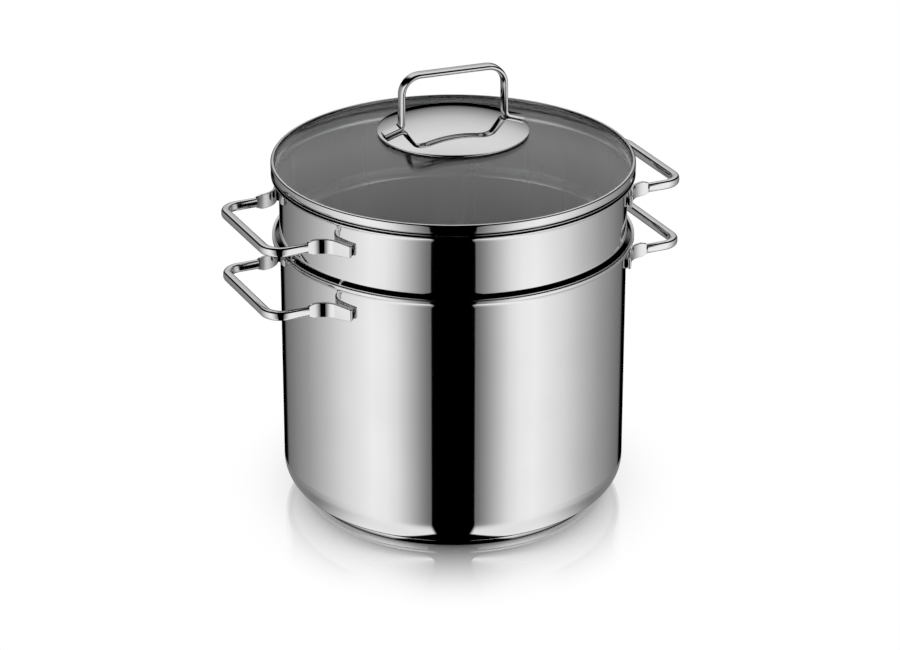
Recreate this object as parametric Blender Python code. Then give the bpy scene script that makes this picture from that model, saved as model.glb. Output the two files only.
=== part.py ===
"""Pasta pot: a tall pot with a capsule base, a perforated insert that hangs in its rim, and a glass lid.

Metres, +Z up. The origin is the middle of the underside. The side handles lie along X.
"""

from math import asin, cos, pi, radians, sin, sqrt

import bmesh
import bpy
from mathutils import Matrix, Vector

# Fits and fineness
GAP = 0.0003  # clearance between pieces that touch
FACETS = 48  # sides of a large turned piece
SMALL_FACETS = 24  # sides of a turned piece of the lid's fastening
CURVE_STEPS = 3  # steps of a rim's curve or a corner of the sheet
CORNER_STEPS = 4  # steps of a large corner or a bend of a bar
FILLET_STEPS = 2  # steps of a small rounding
SHARP_ANGLE = radians(35)  # edges bent more than this stay crisp
AXIS_MARK = 0.0500  # drawn size of the empties on the slide axes

# Pot
BODY_RADIUS = 0.1210  # outside of the wall
BODY_WALL = 0.0009
POT_HEIGHT = 0.1934  # top of the pouring lip
BODY_CORNER = 0.0200  # outside radius between wall and floor

# Pouring rim, the same on pot and insert
RIM_CURVE = 0.0055  # outside radius of the flare
RIM_ANGLE = radians(60)  # how far the lip leans out from upright
RIM_LIP = 0.0030  # straight stretch at the edge

# Capsule base
BASE_INSET = 0.0155  # base edge inside the pot's wall
CAP_WALL = 0.0006
CAP_CORNER = 0.0015
CAP_RISE = 0.0001  # cap's edge above the underside of the body
CORE_THICKNESS = 0.0027

# Insert
INSERT_RISE = 0.0470  # lip of the insert above lip of the pot
INSERT_WALL = 0.0008
SHOULDER_RISE = 0.0022  # foot of the insert's upper wall above lip of the pot
SHOULDER_DROP = 0.0018
SHOULDER_ROUND = 0.0016
NECK_INSET = 0.0022  # neck inside the upper wall
BEAD_RADIUS = 0.0016  # pressed bead that rests in the pot's rim
BEAD_PROUD = 0.0004  # middle of the bead outside the neck
BEAD_SWEEP = radians(80)
BASKET_INSET = 0.0040  # perforated wall inside the upper wall
BASKET_STEP = 0.0020  # height of the step between bead and perforated wall
BASKET_CORNER = 0.0140
BASKET_CLEARANCE = 0.0352  # basket above the pot's floor
HOLE_RADIUS = 0.0024
HOLE_SIDES = 6
HOLES_IN_ROW = 38
HOLE_ROWS = 3
TOP_ROW_DROP = 0.0409  # first row of holes below lip of the pot
ROW_PITCH = 0.0300
FLOOR_RING_HOLES = 6  # more holes in each floor ring than in the one inside it
FLOOR_RING_PITCH = 0.0360
FLOOR_RINGS = 1
DRILL_DEPTH = 0.0100

# Side handles
HANDLE_REACH = 0.0380  # outer edge of the grip outside the pot's wall
HANDLE_HALF_SPAN = 0.0478  # outer face of an arm from the middle of the handle
HANDLE_CORNER = 0.0150  # outside radius between arm and grip
BAR_WIDTH = 0.0050
BAR_HEIGHT = 0.0064
BAR_EDGE = 0.0013  # rounding of the long edges
HANDLE_DROP = 0.0169  # top of the bar below lip of the pot
INSERT_HANDLE_DROP = 0.0176  # top of the bar below lip of the insert
STRAP_START = 0.0077  # where the arm is pressed flat, outside the pot's wall
STRAP_TAPER = 0.0012
STRAP_THICKNESS = 0.0027
STRAP_HEIGHT_START = 0.0082
STRAP_HEIGHT_BEND = 0.0106
STRAP_HEIGHT_END = 0.0086
STRAP_HEIGHT_TIP = 0.0064
STRAP_TURN = radians(29)  # direction of the strap's weld, seen from the pot's axis
STRAP_STANDOFF = 0.0027  # gap between strap and wall, which the pad fills
STRAP_REACH = 0.0034  # end of the strap past the direction of its weld
STRAP_TIP = 0.0007  # length of the strap's rounded end
STRAP_BEND = 0.0030
PAD_HALF_LENGTH = 0.0056
PAD_HALF_HEIGHT = 0.0033
PAD_SHIFT = 0.0030  # middle of the pad back from the direction of the weld
PAD_SIDES = 16

# Lid
LID_TURN = radians(-4.5)  # how far the lid is set round from the side handles
GLASS_THICKNESS = 0.0040
GLASS_RISE = 0.0247  # middle of the dome above its edge
GLASS_EDGE_HEIGHT = 0.0061  # top of the glass at its edge above lip of the insert
GLASS_HOLE_RADIUS = 0.0055
GLASS_RINGS = 4
BAND_SIDE = 0.0008  # metal outside the glass
BAND_LIP_REACH = 0.0011  # lip over the glass, inwards from its edge
BAND_LIP_THICKNESS = 0.0009
BAND_SEAT_REACH = 0.0030  # ledge under the glass, inwards from its edge
BAND_SEAT_THICKNESS = 0.0026
BAND_FOOT = 0.0033  # foot of the upright face above lip of the insert
BAND_ROUND = 0.0006
SKIRT_OUT = 0.0032  # foot of the lid's skirt outside the pot's wall
SKIRT_FLAT = 0.0013

# Lid disc and handle
DISC_RADIUS = 0.0525
DISC_CURVE = 0.1400  # radius of the dome
DISC_WALL = 0.0010
DISC_CLEARANCE = 0.0006  # edge of the disc above the glass
GASKET_WIDTH = 0.0030
GASKET_INSET = 0.0012  # gasket inside the disc's edge
GRIP_HEIGHT = 0.0342  # top of the handle above top of the disc
GRIP_HALF_SPAN = 0.0393  # outer face of a leg
GRIP_WIDTH = 0.0092
GRIP_THICKNESS = 0.0039
GRIP_CORNER = 0.0150  # outside radius between leg and grip
GRIP_EDGE = 0.0014
FOOT_INSET = 0.0019  # end of a foot inside the disc's edge
FOOT_THICKNESS = 0.0025
FOOT_BEND = 0.0040

# Lid fastening
SEAL_RADIUS = 0.0105
SEAL_THICKNESS = 0.0010
SLEEVE_WALL = 0.0019
STUD_RADIUS = 0.0090
THREAD_DEPTH = 0.0032
SCREW_RADIUS = 0.0025
SCREW_CLEARANCE = 0.0005
SCREW_HEAD_RADIUS = 0.0070
SCREW_HEAD_HEIGHT = 0.0024
WASHER_RADIUS = 0.0110
WASHER_THICKNESS = 0.0010

UP = Vector((0, 0, 1))


def clear_scene():
    for old in list(bpy.data.objects):
        bpy.data.objects.remove(old, do_unlink=True)


def make_finish(name, colour, roughness, metallic, alpha=1.0):
    finish = bpy.data.materials.new(name)
    finish.use_nodes = True
    shader = finish.node_tree.nodes["Principled BSDF"]
    shader.inputs["Base Color"].default_value = (*colour, 1.0)
    shader.inputs["Roughness"].default_value = roughness
    shader.inputs["Metallic"].default_value = metallic
    shader.inputs["Alpha"].default_value = alpha
    return finish


def place(name, bm, finish, parent=None, location=(0, 0, 0), turn=0.0):
    """A named object from a finished bmesh."""
    mesh = bpy.data.meshes.new(name)
    bm.to_mesh(mesh)
    bm.free()
    mesh.materials.append(finish)
    mesh.shade_smooth()
    mesh.set_sharp_from_angle(angle=SHARP_ANGLE)
    piece = bpy.data.objects.new(name, mesh)
    bpy.context.scene.collection.objects.link(piece)
    piece.parent = parent
    piece.location = location
    piece.rotation_euler.z = turn
    return piece


def make_axis(name, height, parent=None):
    axis = bpy.data.objects.new(name, None)
    axis.empty_display_size = AXIS_MARK
    bpy.context.scene.collection.objects.link(axis)
    axis.parent = parent
    axis.location = (0, 0, height)
    return axis


# Outlines in the (radius, height) plane, listed so that they run down the outer side


def arc(centre, radius, start, end, steps):
    """Points on an arc, both ends included."""
    points = []
    for step in range(steps + 1):
        angle = start + (end - start) * step / steps
        points.append((centre[0] + radius * cos(angle), centre[1] + radius * sin(angle)))
    return points


def fillet(before, corner, after, radius, steps=FILLET_STEPS):
    """Points that round the corner of an outline."""
    corner = Vector(corner)
    back = (Vector(before) - corner).normalized()
    ahead = (Vector(after) - corner).normalized()
    half = back.angle(ahead) / 2
    reach = radius * cos(half) / sin(half)
    middle = corner + (back + ahead).normalized() * radius / sin(half)
    first = corner + back * reach - middle
    last = corner + ahead * reach - middle
    points = []
    for step in range(steps + 1):
        share = step / steps
        spoke = (first * (1 - share) + last * share).normalized() * radius
        points.append(tuple(middle + spoke))
    return points


def spin_outline(outline, facets, closed):
    """A mesh turned from an outline, all the way round Z."""
    bm = bmesh.new()
    corners = [bm.verts.new((radius, 0, height)) for radius, height in outline]
    edges = [bm.edges.new(pair) for pair in zip(corners, corners[1:])]
    if closed:
        edges.append(bm.edges.new((corners[-1], corners[0])))
    bmesh.ops.spin(
        bm, geom=corners + edges, cent=(0, 0, 0), axis=(0, 0, 1),
        angle=2 * pi, steps=facets, use_merge=True,
    )
    bmesh.ops.remove_doubles(bm, verts=bm.verts, dist=1e-6)
    join_flat_fans(bm)
    return bm


def join_flat_fans(bm):
    """Each flat fan of triangles round the axis becomes one face."""
    poles = [vert for vert in bm.verts if vert.co.xy.length < 1e-6]
    for pole in poles:
        heights = [vert.co.z for face in pole.link_faces for vert in face.verts]
        if max(heights) - min(heights) < 1e-6:
            bmesh.ops.dissolve_verts(bm, verts=[pole])


def turned_sheet(name, outline, wall, finish, parent=None):
    """A spun metal shell; the outline is its outside and the wall lies within."""
    sheet = place(name, spin_outline(outline, FACETS, closed=False), finish, parent)
    thicken = sheet.modifiers.new("wall", "SOLIDIFY")
    thicken.thickness = wall
    thicken.offset = -1
    thicken.use_even_offset = True
    return sheet


def turned_solid(name, outline, finish, facets=FACETS, parent=None):
    """A turned solid; the outline is a closed section, or one that ends on the axis."""
    on_axis = outline[0][0] == 0
    return place(name, spin_outline(outline, facets, closed=not on_axis), finish, parent)


def ring_section(inner, outer, low, high):
    return [(inner, high), (outer, high), (outer, low), (inner, low)]


# Bars; a station is a spot, the directions of the section's sides, and their lengths


def section_ring(bm, station, edge):
    """One cross-section of a bar: a rectangle with its corners cut back."""
    spot, across, upward, width, height = station
    half_width = width / 2
    half_height = height / 2
    corners = []
    for side, top in ((1, 1), (-1, 1), (-1, -1), (1, -1)):
        flat = (side * (half_width - edge), top * half_height)
        upright = (side * half_width, top * (half_height - edge))
        corners += [upright, flat] if side == top else [flat, upright]
    return [bm.verts.new(spot + across * x + upward * y) for x, y in corners]


def swept_bar(name, stations, edge, finish, parent=None, height=0.0, turn=0.0):
    """A bent bar through its stations, closed at both ends."""
    bm = bmesh.new()
    rings = [section_ring(bm, station, edge) for station in stations]
    for ring, following in zip(rings, rings[1:]):
        for index, corner in enumerate(ring):
            after = (index + 1) % len(ring)
            bm.faces.new((corner, ring[after], following[after], following[index]))
    bm.faces.new(rings[0])
    bm.faces.new(rings[-1])
    bmesh.ops.recalc_face_normals(bm, faces=bm.faces)
    return place(name, bm, finish, parent, (0, 0, height), turn)


def bend(before, corner, after, radius, steps, facing):
    """Spots round a bend of a flat path, each with the facing direction turned along."""
    back = (before - corner).normalized()
    ahead = (after - corner).normalized()
    half = back.angle(ahead) / 2
    reach = radius * cos(half) / sin(half)
    middle = corner + (back + ahead).normalized() * radius / sin(half)
    spoke = corner + back * reach - middle
    hinge = (-back).cross(ahead).normalized()
    spots = []
    for step in range(steps + 1):
        turn = Matrix.Rotation((pi - 2 * half) * step / steps, 3, hinge)
        spots.append((middle + turn @ spoke, turn @ facing, step / steps))
    return spots


def mirrored(stations, axis):
    """All of a bar that is the same on both sides of its middle."""
    flip = Vector([-1 if index == axis else 1 for index in range(3)])
    far = []
    for spot, across, upward, width, height in reversed(stations):
        far.append((spot * flip, across * flip, upward * flip, width, height))
    return stations + far


# Pouring rim


def rim_rise(wall):
    """Height from the start of the flare to the top of the lip."""
    return (RIM_CURVE + wall) * sin(RIM_ANGLE) + RIM_LIP * cos(RIM_ANGLE)


def rim_outline(wall, lip_top):
    """Outside of the flared rim, from the lip's edge down to the upright wall."""
    flare_foot = lip_top - rim_rise(wall)
    curve = arc((BODY_RADIUS + RIM_CURVE, flare_foot), RIM_CURVE, pi - RIM_ANGLE, pi, CURVE_STEPS)
    edge = (curve[0][0] + RIM_LIP * sin(RIM_ANGLE), curve[0][1] + RIM_LIP * cos(RIM_ANGLE))
    return [edge] + curve


def lip_radius():
    return rim_outline(INSERT_WALL, 0)[0][0]


def flare_height(radius, wall):
    """Inside of a rim where it is straight, at this radius, above the lip's top."""
    inside = RIM_CURVE + wall
    bend_radius = BODY_RADIUS + RIM_CURVE - inside * cos(RIM_ANGLE)
    bend_height = inside * sin(RIM_ANGLE) - rim_rise(wall)
    return bend_height + (radius - bend_radius) * cos(RIM_ANGLE) / sin(RIM_ANGLE)


# Pot


def body_underside():
    return CAP_WALL + CORE_THICKNESS + 2 * GAP


def make_pot_body(steel):
    floor = body_underside()
    outline = rim_outline(BODY_WALL, POT_HEIGHT)
    outline += arc((BODY_RADIUS - BODY_CORNER, floor + BODY_CORNER), BODY_CORNER, 0, -pi / 2, CORNER_STEPS)
    outline.append((0, floor))
    turned_sheet("pot_body", outline, BODY_WALL, steel)


def make_base(steel, aluminium):
    base_radius = BODY_RADIUS - BASE_INSET
    core_radius = base_radius - CAP_WALL - CAP_CORNER
    core_low = CAP_WALL + GAP
    core_high = core_low + CORE_THICKNESS
    core = [(0, core_high), (core_radius, core_high), (core_radius, core_low), (0, core_low)]
    turned_solid("pot_base_core", core, aluminium)
    cap = [(base_radius, body_underside() + CAP_RISE)]
    cap += arc((base_radius - CAP_CORNER, CAP_CORNER), CAP_CORNER, 0, -pi / 2, CURVE_STEPS)
    cap.append((0, 0))
    turned_sheet("pot_base_cap", cap, CAP_WALL, steel)


# Insert; heights are above the pot's lip


def bead_height(bead_middle):
    """Middle of the seat bead, where it rests in the curve of the pot's rim."""
    sideways = BODY_RADIUS + RIM_CURVE - bead_middle
    apart = RIM_CURVE + BODY_WALL + GAP + BEAD_RADIUS
    return sqrt(apart**2 - sideways**2) - rim_rise(BODY_WALL)


def basket_floor():
    return body_underside() + BODY_WALL + BASKET_CLEARANCE - POT_HEIGHT


def insert_outline():
    neck_radius = BODY_RADIUS - NECK_INSET
    basket_radius = BODY_RADIUS - BASKET_INSET
    bead_middle = neck_radius + BEAD_PROUD
    floor = basket_floor()
    outline = rim_outline(INSERT_WALL, INSERT_RISE)
    neck_top = (neck_radius, SHOULDER_RISE - SHOULDER_DROP)
    outline += fillet(outline[-1], (BODY_RADIUS, SHOULDER_RISE), neck_top, SHOULDER_ROUND)
    outline.append(neck_top)
    bead = arc((bead_middle, bead_height(bead_middle)), BEAD_RADIUS, BEAD_SWEEP, -BEAD_SWEEP, CORNER_STEPS)
    outline += bead
    outline.append((basket_radius, bead[-1][1] - BASKET_STEP))
    corner_centre = (basket_radius - BASKET_CORNER, floor + BASKET_CORNER)
    outline += arc(corner_centre, BASKET_CORNER, 0, -pi / 2, CURVE_STEPS)
    outline.append((0, floor))
    return outline


def drill(bm, spot):
    bmesh.ops.create_cone(
        bm, cap_ends=True, segments=HOLE_SIDES, radius1=HOLE_RADIUS, radius2=HOLE_RADIUS,
        depth=DRILL_DEPTH, matrix=spot,
    )


def make_hole_cutters(axis):
    bm = bmesh.new()
    sideways = Matrix.Rotation(pi / 2, 4, "Y")
    for row in range(HOLE_ROWS):
        height = -TOP_ROW_DROP - row * ROW_PITCH
        reach = Matrix.Translation((BODY_RADIUS - BASKET_INSET, 0, height)) @ sideways
        for hole in range(HOLES_IN_ROW):
            turn = Matrix.Rotation(2 * pi * (hole + row % 2 / 2) / HOLES_IN_ROW, 4, "Z")
            drill(bm, turn @ reach)
    drill(bm, Matrix.Translation((0, 0, basket_floor())))
    for ring in range(1, FLOOR_RINGS + 1):
        holes = FLOOR_RING_HOLES * ring
        for hole in range(holes):
            turn = Matrix.Rotation(2 * pi * hole / holes, 4, "Z")
            drill(bm, turn @ Matrix.Translation((ring * FLOOR_RING_PITCH, 0, basket_floor())))
    mesh = bpy.data.meshes.new("insert_holes")
    bm.to_mesh(mesh)
    bm.free()
    cutters = bpy.data.objects.new("insert_holes", mesh)
    bpy.context.scene.collection.objects.link(cutters)
    cutters.parent = axis
    cutters.hide_render = True
    cutters.display_type = "WIRE"
    return cutters


def make_insert_body(steel, axis):
    body = turned_sheet("insert_body", insert_outline(), INSERT_WALL, steel, axis)
    holes = body.modifiers.new("holes", "BOOLEAN")
    holes.operation = "DIFFERENCE"
    holes.solver = "EXACT"
    holes.object = make_hole_cutters(axis)


# Side handles


def side_handle_stations():
    """One side handle, from the tip of one strap to the tip of the other.

    X points away from the pot's axis, and height zero is the middle of the bar.
    """
    weld_out = Vector((cos(STRAP_TURN), sin(STRAP_TURN), 0))
    weld_along = Vector((-sin(STRAP_TURN), cos(STRAP_TURN), 0))
    arm_out = Vector((0, 1, 0))
    strap_middle = BODY_RADIUS + STRAP_STANDOFF + STRAP_THICKNESS / 2
    arm = HANDLE_HALF_SPAN - BAR_WIDTH / 2
    elbow = Vector(((strap_middle - arm * sin(STRAP_TURN)) / cos(STRAP_TURN), arm, 0))
    tip = weld_out * strap_middle + weld_along * STRAP_REACH
    shoulder = tip - weld_along * STRAP_TIP
    strap_end = Vector((BODY_RADIUS + STRAP_START, arm, 0))
    bar_start = Vector((strap_end.x + STRAP_TAPER, arm, 0))
    grip = BODY_RADIUS + HANDLE_REACH - BAR_WIDTH / 2
    stations = [(tip, weld_out, UP, STRAP_THICKNESS, STRAP_HEIGHT_TIP)]
    stations.append((shoulder, weld_out, UP, STRAP_THICKNESS, STRAP_HEIGHT_END))
    for spot, facing, _ in bend(tip, elbow, strap_end, STRAP_BEND, FILLET_STEPS, weld_out):
        stations.append((spot, facing, UP, STRAP_THICKNESS, STRAP_HEIGHT_BEND))
    stations.append((strap_end, arm_out, UP, STRAP_THICKNESS, STRAP_HEIGHT_START))
    stations.append((bar_start, arm_out, UP, BAR_WIDTH, BAR_HEIGHT))
    corner = Vector((grip, arm, 0))
    middle = Vector((grip, 0, 0))
    bar_bend = HANDLE_CORNER - BAR_WIDTH / 2
    for spot, facing, _ in bend(bar_start, corner, middle, bar_bend, CORNER_STEPS, arm_out):
        stations.append((spot, facing, UP, BAR_WIDTH, BAR_HEIGHT))
    return mirrored(stations, 1)


def make_pad(name, direction, sense, height, steel, parent):
    """Weld pad between the wall and a strap."""
    bm = bmesh.new()
    bmesh.ops.create_cone(
        bm, cap_ends=True, segments=PAD_SIDES, radius1=PAD_HALF_HEIGHT, radius2=PAD_HALF_HEIGHT,
        depth=STRAP_STANDOFF - 2 * GAP, matrix=Matrix.Rotation(pi / 2, 4, "Y"),
    )
    bmesh.ops.scale(bm, vec=(1, PAD_HALF_LENGTH / PAD_HALF_HEIGHT, 1), verts=bm.verts)
    outward = Vector((cos(direction), sin(direction), 0))
    along = Vector((-sin(direction), cos(direction), 0)) * sense
    spot = outward * (BODY_RADIUS + STRAP_STANDOFF / 2) - along * PAD_SHIFT
    place(name, bm, steel, parent, (spot.x, spot.y, height), direction)


def make_side_handles(owner, bar_top, steel, parent=None):
    """Both side handles of the pot or the insert, and the weld pads behind their straps."""
    middle = bar_top - BAR_HEIGHT / 2
    stations = side_handle_stations()
    for side, turn, front in (("right", 0.0, -1), ("left", pi, 1)):
        name = f"{owner}_handle_{side}"
        swept_bar(name, stations, BAR_EDGE, steel, parent, middle, turn)
        make_pad(f"{name}_front_pad", turn + front * STRAP_TURN, front, middle, steel, parent)
        make_pad(f"{name}_rear_pad", turn - front * STRAP_TURN, -front, middle, steel, parent)


# Lid; heights are above the insert's lip


def dome_drop(radius, sphere):
    """How far a dome has fallen at this radius."""
    return sphere - sqrt(sphere**2 - radius**2)


def glass_radius():
    return lip_radius() - BAND_SIDE - GAP


def glass_sphere():
    return (glass_radius() ** 2 + GLASS_RISE**2) / (2 * GLASS_RISE)


def glass_top(radius):
    return GLASS_EDGE_HEIGHT + GLASS_RISE - dome_drop(radius, glass_sphere())


def glass_bottom(radius):
    """Underside of the glass, a dome about the same centre as its top."""
    apex = GLASS_EDGE_HEIGHT + GLASS_RISE - GLASS_THICKNESS
    return apex - dome_drop(radius, glass_sphere() - GLASS_THICKNESS)


def make_glass(glass, axis):
    radii = [GLASS_HOLE_RADIUS, SEAL_RADIUS]
    start = DISC_RADIUS
    for ring in range(GLASS_RINGS):
        radii.append(start + (glass_radius() - start) * ring / (GLASS_RINGS - 1))
    section = [(radius, glass_top(radius)) for radius in radii]
    section += [(radius, glass_bottom(radius)) for radius in reversed(radii)]
    turned_solid("lid_glass", section, glass, parent=axis)


def make_band(steel, axis):
    """Rolled steel ring round the glass, with the skirt that sits in the insert's rim."""
    glass_wall = glass_radius() + GAP
    lip_inner = glass_radius() - BAND_LIP_REACH
    lip_low = glass_top(lip_inner) + GAP
    lip_high = lip_low + BAND_LIP_THICKNESS
    seat_inner = glass_radius() - BAND_SEAT_REACH
    seat_high = glass_bottom(seat_inner) - GAP
    skirt_radius = BODY_RADIUS + SKIRT_OUT
    skirt_low = flare_height(skirt_radius, INSERT_WALL) + GAP / sin(RIM_ANGLE)
    lip = (lip_inner, lip_high)
    shoulder = (lip_radius(), lip_high)
    foot = (lip_radius(), BAND_FOOT)
    skirt = (skirt_radius, skirt_low)
    section = [lip]
    section += fillet(lip, shoulder, foot, BAND_ROUND)
    section += fillet(shoulder, foot, skirt, BAND_ROUND)
    section += [skirt, (skirt_radius - SKIRT_FLAT, skirt_low)]
    section += [(seat_inner, seat_high - BAND_SEAT_THICKNESS), (seat_inner, seat_high)]
    section += [(glass_wall, glass_bottom(glass_radius()) - GAP), (glass_wall, lip_low), (lip_inner, lip_low)]
    turned_solid("lid_band", section, steel, parent=axis)


def disc_top(radius):
    edge = glass_top(DISC_RADIUS) + DISC_CLEARANCE + DISC_WALL
    return edge + dome_drop(DISC_RADIUS, DISC_CURVE) - dome_drop(radius, DISC_CURVE)


def disc_bottom(radius):
    """Underside of the disc, a dome about the same centre as its top."""
    return disc_top(0) - DISC_WALL - dome_drop(radius, DISC_CURVE - DISC_WALL)


def gasket_inner():
    return DISC_RADIUS - GASKET_INSET - GASKET_WIDTH


def make_disc(steel, axis):
    radii = [0, STUD_RADIUS, (STUD_RADIUS + gasket_inner()) / 2, gasket_inner(), DISC_RADIUS]
    outline = [(radius, disc_top(radius)) for radius in radii]
    turned_sheet("lid_disc", outline, DISC_WALL, steel, axis)


def make_gasket(silicone, axis):
    inner = gasket_inner()
    outer = DISC_RADIUS - GASKET_INSET
    section = [(inner, disc_bottom(inner) - GAP), (outer, disc_bottom(outer) - GAP)]
    section += [(outer, glass_top(outer) + GAP), (inner, glass_top(inner) + GAP)]
    turned_solid("lid_disc_gasket", section, silicone, parent=axis)


def lid_handle_stations():
    """The lid's handle, from the tip of one foot to the tip of the other."""
    depth = Vector((0, 1, 0))
    leg = GRIP_HALF_SPAN - GRIP_THICKNESS / 2
    foot_end = DISC_RADIUS - FOOT_INSET
    lean = asin((leg + foot_end) / 2 / DISC_CURVE)
    foot_out = Vector((sin(lean), 0, cos(lean)))
    lift = foot_out * (GAP + FOOT_THICKNESS / 2)
    tip = Vector((foot_end, 0, disc_top(foot_end))) + lift
    heel = Vector((leg, 0, disc_top(leg))) + lift
    grip = disc_top(0) + GRIP_HEIGHT - GRIP_THICKNESS / 2
    corner = Vector((leg, 0, grip))
    stations = [(tip, depth, foot_out, GRIP_WIDTH, FOOT_THICKNESS)]
    for spot, facing, share in bend(tip, heel, corner, FOOT_BEND, CURVE_STEPS, foot_out):
        thickness = FOOT_THICKNESS + (GRIP_THICKNESS - FOOT_THICKNESS) * share
        stations.append((spot, depth, facing, GRIP_WIDTH, thickness))
    middle = Vector((0, 0, grip))
    leg_out = Vector((1, 0, 0))
    grip_bend = GRIP_CORNER - GRIP_THICKNESS / 2
    for spot, facing, _ in bend(heel, corner, middle, grip_bend, CORNER_STEPS, leg_out):
        stations.append((spot, depth, facing, GRIP_WIDTH, GRIP_THICKNESS))
    return mirrored(stations, 0)


def make_fastening(steel, silicone, axis):
    """What holds disc and handle to the glass: stud, screw, washer, two seals and a sleeve."""
    sleeve_outer = GLASS_HOLE_RADIUS - GAP
    sleeve_inner = sleeve_outer - SLEEVE_WALL
    sleeve = ring_section(sleeve_inner, sleeve_outer, glass_bottom(0), glass_top(0))
    turned_solid("lid_sleeve", sleeve, silicone, SMALL_FACETS, axis)

    upper_low = glass_top(0) + GAP
    upper_high = upper_low + SEAL_THICKNESS
    upper = ring_section(sleeve_inner, SEAL_RADIUS, upper_low, upper_high)
    turned_solid("lid_upper_seal", upper, silicone, SMALL_FACETS, axis)

    bore = SCREW_RADIUS + GAP
    stud_low = upper_high + GAP
    stud_high = disc_bottom(STUD_RADIUS) - GAP
    bore_top = stud_low + THREAD_DEPTH
    stud = [(0, stud_high), (STUD_RADIUS, stud_high), (STUD_RADIUS, stud_low)]
    stud += [(bore, stud_low), (bore, bore_top), (0, bore_top)]
    turned_solid("lid_stud", stud, steel, SMALL_FACETS, axis)

    lower_high = glass_bottom(SEAL_RADIUS) - GAP
    lower_low = lower_high - SEAL_THICKNESS
    lower = ring_section(sleeve_inner, SEAL_RADIUS, lower_low, lower_high)
    turned_solid("lid_lower_seal", lower, silicone, SMALL_FACETS, axis)

    washer_high = lower_low - GAP
    washer_low = washer_high - WASHER_THICKNESS
    washer = ring_section(SCREW_RADIUS + SCREW_CLEARANCE, WASHER_RADIUS, washer_low, washer_high)
    turned_solid("lid_washer", washer, steel, SMALL_FACETS, axis)

    head_high = washer_low - GAP
    head_low = head_high - SCREW_HEAD_HEIGHT
    head_edge = (SCREW_HEAD_RADIUS, head_high)
    screw = [(0, bore_top - GAP), (SCREW_RADIUS, bore_top - GAP), (SCREW_RADIUS, head_high), head_edge]
    screw += fillet(head_edge, (SCREW_HEAD_RADIUS, head_low), (0, head_low), SCREW_HEAD_HEIGHT / 2)
    screw.append((0, head_low))
    turned_solid("lid_screw", screw, steel, SMALL_FACETS, axis)


def main():
    clear_scene()
    polished = make_finish("polished_steel", (0.62, 0.62, 0.63), 0.08, 1.0)
    satin = make_finish("satin_steel", (0.55, 0.55, 0.56), 0.32, 1.0)
    aluminium = make_finish("cast_aluminium", (0.70, 0.71, 0.72), 0.45, 1.0)
    glass = make_finish("tempered_glass", (0.93, 0.95, 0.95), 0.02, 0.0, 0.35)
    silicone = make_finish("silicone", (0.06, 0.06, 0.06), 0.55, 0.0)

    make_pot_body(polished)
    make_base(polished, aluminium)
    make_side_handles("pot", POT_HEIGHT - HANDLE_DROP, polished)

    insert_axis = make_axis("insert_axis", POT_HEIGHT)
    make_insert_body(satin, insert_axis)
    make_side_handles("insert", INSERT_RISE - INSERT_HANDLE_DROP, polished, insert_axis)

    lid_axis = make_axis("lid_axis", INSERT_RISE, insert_axis)
    make_glass(glass, lid_axis)
    make_band(polished, lid_axis)
    make_disc(polished, lid_axis)
    make_gasket(silicone, lid_axis)
    swept_bar("lid_handle", lid_handle_stations(), GRIP_EDGE, polished, lid_axis, turn=LID_TURN)
    make_fastening(satin, silicone, lid_axis)


main()
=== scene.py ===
from math import asin, cos, degrees, pi, radians, sin, sqrt

import bmesh
import bpy
from mathutils import Matrix, Vector


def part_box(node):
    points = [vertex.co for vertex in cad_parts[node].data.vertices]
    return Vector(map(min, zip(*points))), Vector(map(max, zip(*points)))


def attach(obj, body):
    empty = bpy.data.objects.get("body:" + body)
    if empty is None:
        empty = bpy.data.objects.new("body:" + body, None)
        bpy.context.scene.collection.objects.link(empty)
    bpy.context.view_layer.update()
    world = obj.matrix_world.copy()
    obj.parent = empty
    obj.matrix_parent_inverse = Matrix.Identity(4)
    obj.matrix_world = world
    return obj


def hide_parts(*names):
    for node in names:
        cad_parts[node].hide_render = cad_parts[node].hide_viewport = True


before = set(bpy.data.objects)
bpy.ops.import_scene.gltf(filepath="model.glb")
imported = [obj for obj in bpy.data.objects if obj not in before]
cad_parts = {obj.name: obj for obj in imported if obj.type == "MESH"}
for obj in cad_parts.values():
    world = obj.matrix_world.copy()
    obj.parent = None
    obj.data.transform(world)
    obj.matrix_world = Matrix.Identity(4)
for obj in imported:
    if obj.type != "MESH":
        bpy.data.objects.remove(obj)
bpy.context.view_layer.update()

print("frame loaded:", len(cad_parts), "nodes")

# A tall steel pot, a perforated insert hanging in its rim, and a domed glass lid.
# Metres, +Z up. The side handles lie along X.

mm = 0.001


# Camera

cameraSetup = {
    "lens": 132,  # mm
    "sensor": 36,
    "location": (-0.9080, -1.9288, 1.0715),
    "pitch": 65.96,  # degrees up from straight down
    "heading": -25.15,
}


def makeCamera(setup):
    data = bpy.data.cameras.new("camera")
    data.lens = setup["lens"]
    data.sensor_width = setup["sensor"]
    camera = bpy.data.objects.new("camera", data)
    camera.location = setup["location"]
    camera.rotation_euler = (radians(setup["pitch"]), 0, radians(setup["heading"]))
    bpy.context.scene.collection.objects.link(camera)
    bpy.context.scene.camera = camera


makeCamera(cameraSetup)


# Nodes and colours


def toLinear(hexColour):
    # sRGB hex to the linear colour that the shaders take
    channels = [int(hexColour[i:i + 2], 16) / 255 for i in (1, 3, 5)]
    linear = [c / 12.92 if c <= 0.04045 else ((c + 0.055) / 1.055) ** 2.4 for c in channels]
    return (*linear, 1.0)


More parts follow.
